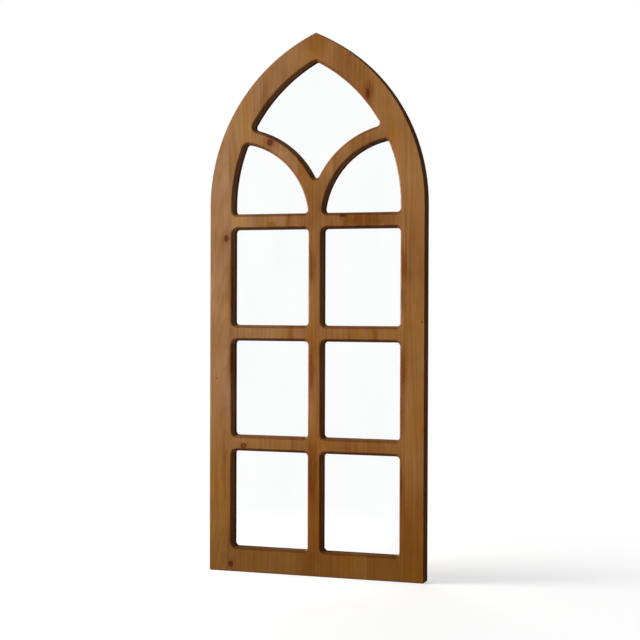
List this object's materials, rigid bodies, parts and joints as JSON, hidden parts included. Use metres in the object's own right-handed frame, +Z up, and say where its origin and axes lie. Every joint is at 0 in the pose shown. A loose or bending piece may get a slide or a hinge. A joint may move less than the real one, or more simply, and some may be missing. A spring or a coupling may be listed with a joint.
{
  "type": "arched window mirror",
  "caption": "Wall mirror in a routed pine frame shaped like a pointed arched window with branching tracery, with a mirror sheet behind every pane and hanging rings at the back.",
  "frame": {"origin": "middle of the bottom of the bounding box: the centre of the bottom edge, halfway between the front face and the plane of the wall bumpers", "axes": "+X to the right seen from the front, -Y out of the mirror's front face, +Y towards the wall, +Z up"},
  "size_m": [0.3556, 0.0278, 0.8534],
  "materials": {
    "pine": "brown stain under a satin clear coat",
    "mirror": "polished silvered glass",
    "hardboard": "plain pressed hardboard",
    "zinc_screws": "zinc plated",
    "zinc_steel": "zinc plated",
    "ring_steel": "zinc plated wire",
    "rubber_pad": "matt"
  },
  "bodies": {
    "frame": {"left_edge_stave": "pine", "left_stile_stave": "pine", "left_pane_stave": "pine", "mullion_stave": "pine", "right_pane_stave": "pine", "right_stile_stave": "pine", "right_edge_stave": "pine", "mirror_glass": "mirror", "backing_board": "hardboard", "backing_board_screws": "zinc_screws", "left_hanger_strap": "zinc_steel", "right_hanger_strap": "zinc_steel", "hanger_screws": "zinc_screws", "wall_bumpers": "rubber_pad"},
    "left_ring": {"left_hanging_ring": "ring_steel"},
    "right_ring": {"right_hanging_ring": "ring_steel"}
  },
  "joints": [
    {"name": "left_ring_hinge", "type": "hinge", "parent": "frame", "child": "left_ring", "pos_m": [-0.1675, 0.01148, 0.562], "axis": [1, 0, 0], "range_deg": [0, 180]},
    {"name": "right_ring_hinge", "type": "hinge", "parent": "frame", "child": "right_ring", "pos_m": [0.1675, 0.01148, 0.562], "axis": [1, 0, 0], "range_deg": [0, 180]}
  ]
}
